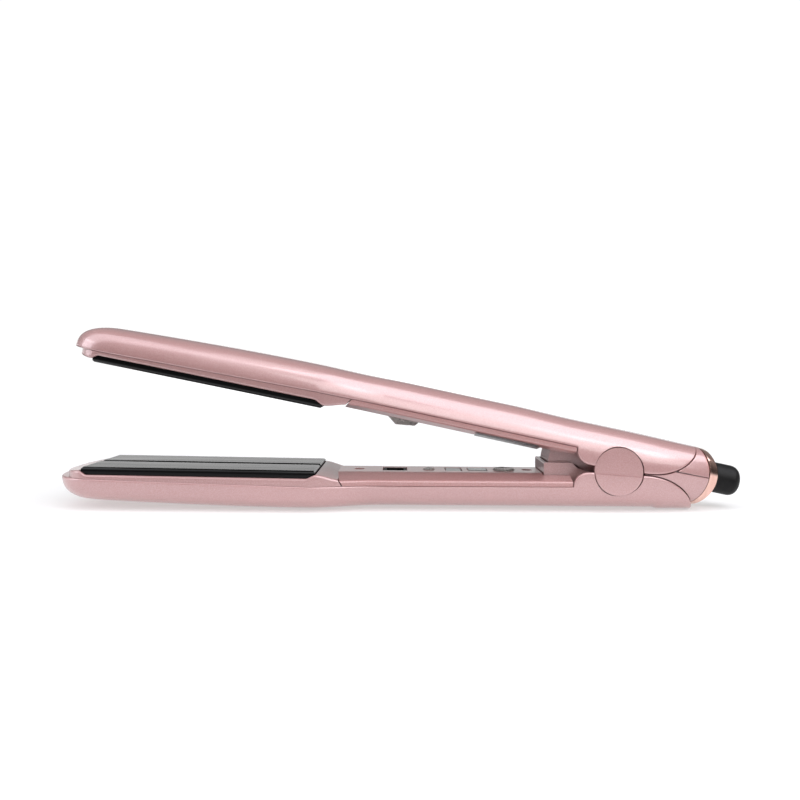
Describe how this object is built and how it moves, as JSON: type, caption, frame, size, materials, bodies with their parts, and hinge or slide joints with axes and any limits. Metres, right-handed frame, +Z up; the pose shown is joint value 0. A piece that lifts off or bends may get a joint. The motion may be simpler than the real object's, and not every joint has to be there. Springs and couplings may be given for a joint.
{
  "type": "hair straightener",
  "caption": "Hair straightener standing open on its lower arm, with wide black plates, rose gold arms, a round hinge cap and a fishtail end with a cord swivel.",
  "frame": {"origin": "centre of the bounding box in X and Y, at the surface that the lower arm rests on", "axes": "+X to the cord end, +Y away from the near side, +Z up"},
  "size_m": [0.302, 0.049, 0.0794],
  "materials": {
    "paint": "pearlescent rose gold lacquer, satin gloss",
    "frame": "pearlescent rose gold, slightly duller",
    "ceramic": "polished black ceramic coating on aluminium",
    "copper": "bright rose metal plating",
    "rubber": "black, moulded",
    "steel": "plain",
    "mica": "heat-proof insulating sheet",
    "silicone": "red heat-proof silicone",
    "board": "green circuit board",
    "dark_glass": "smoked, glossy",
    "resin": "grey, slightly translucent",
    "wire": "red sleeved wire"
  },
  "bodies": {
    "lower_arm": {"lower_shell": "paint", "lower_head_frame": "frame", "lower_grip_cover": "paint", "lower_plate_tray": "mica", "lower_cushion_front": "silicone", "lower_cushion_rear": "silicone", "lower_screw_head": "steel", "lower_screw_hinge": "steel", "lower_heater_lead": "wire", "hinge_bracket": "frame", "hinge_pin": "steel", "hinge_cap_near": "paint", "hinge_cap_far": "paint", "opening_spring": "steel", "guide_socket": "rubber", "control_board": "board", "display_window": "dark_glass", "display_module": "dark_glass", "scale_label": "dark_glass"},
    "upper_arm": {"upper_shell": "paint", "upper_head_frame": "frame", "upper_grip_cover": "paint", "upper_plate_tray": "mica", "upper_cushion_front": "silicone", "upper_cushion_rear": "silicone", "upper_screw_head": "steel", "upper_screw_hinge": "steel", "upper_heater_lead": "wire", "hinge_block": "frame", "guide_tab": "resin", "rating_label": "dark_glass", "tail_wedge_upper": "paint", "tail_wedge_lower": "paint", "tail_ring": "copper"},
    "lower_plate_unit": {"lower_plate": "ceramic", "lower_heater": "mica", "lower_heater_clamp": "steel", "lower_temperature_sensor": "resin", "lower_thermal_fuse": "steel"},
    "upper_plate_unit": {"upper_plate": "ceramic", "upper_heater": "mica", "upper_heater_clamp": "steel", "upper_temperature_sensor": "resin", "upper_thermal_fuse": "steel"},
    "swivel": {"cord_swivel": "rubber", "swivel_retainer": "steel"},
    "dial": {"dial": "resin"},
    "power_button": {"power_button": "resin"}
  },
  "joints": [
    {"name": "arm_close", "type": "hinge", "parent": "lower_arm", "child": "upper_arm", "pos_m": [0.09344, 0, 0.01785], "axis": [0, -1, 0], "range_deg": [0, 11.2], "stiffness_Nm_per_rad": 1.6, "springref_deg": -17.19, "deforming": ["opening_spring"]},
    {"name": "lower_plate_float", "type": "slide", "parent": "lower_arm", "child": "lower_plate_unit", "axis": [-0.0105, 0, -0.9999], "range_m": [0, 0.0008], "stiffness_N_per_m": 2500, "springref_m": -0.0008, "deforming": ["lower_cushion_front", "lower_cushion_rear"]},
    {"name": "upper_plate_float", "type": "slide", "parent": "upper_arm", "child": "upper_plate_unit", "axis": [0.1947, 0, 0.9809], "range_m": [0, 0.0008], "stiffness_N_per_m": 2500, "springref_m": -0.0008, "deforming": ["upper_cushion_front", "upper_cushion_rear"]},
    {"name": "cord_swivel_turn", "type": "hinge", "parent": "upper_arm", "child": "swivel", "pos_m": [0.13855, 0, 0.01371], "axis": [0.9788, 0, -0.205], "continuous": true},
    {"name": "dial_turn", "type": "hinge", "parent": "lower_arm", "child": "dial", "pos_m": [0.04654, 0, 0.01785], "axis": [0, 0, 1], "range_deg": [-135, 135]},
    {"name": "power_button_press", "type": "slide", "parent": "lower_arm", "child": "power_button", "axis": [0, 0, -1], "range_m": [0, 0.0007], "stiffness_N_per_m": 600, "springref_m": -0.0008}
  ]
}
